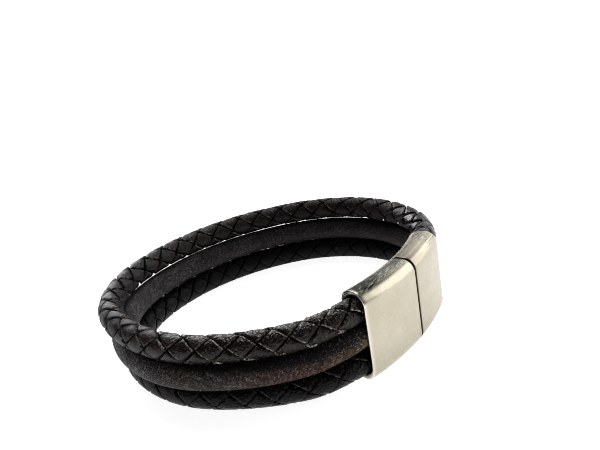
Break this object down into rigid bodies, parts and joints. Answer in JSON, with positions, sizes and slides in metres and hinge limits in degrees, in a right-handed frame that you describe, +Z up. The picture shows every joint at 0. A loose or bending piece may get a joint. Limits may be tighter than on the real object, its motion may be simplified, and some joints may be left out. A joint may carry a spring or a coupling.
{
  "type": "leather bracelet",
  "caption": "Leather bracelet of stacked round strands, two braided and one plain, closed by a curved metal clasp in two halves.",
  "frame": {"origin": "under the middle of the whole bracelet, on the surface that it lies on", "axes": "+Z up along the hole that the wrist goes through, +X towards the clasp, +Y along the clasp from its front half to its rear half"},
  "size_m": [0.0683, 0.0755, 0.0176],
  "materials": {
    "clasp_metal": "satin",
    "braided_leather": "satin",
    "plain_leather": "matte"
  },
  "bodies": {
    "root": {"clasp_front_half": "clasp_metal", "clasp_rear_half": "clasp_metal", "braided_strand_upper": "braided_leather", "plain_strand_middle": "plain_leather", "braided_strand_lower": "braided_leather"}
  },
  "joints": []
}
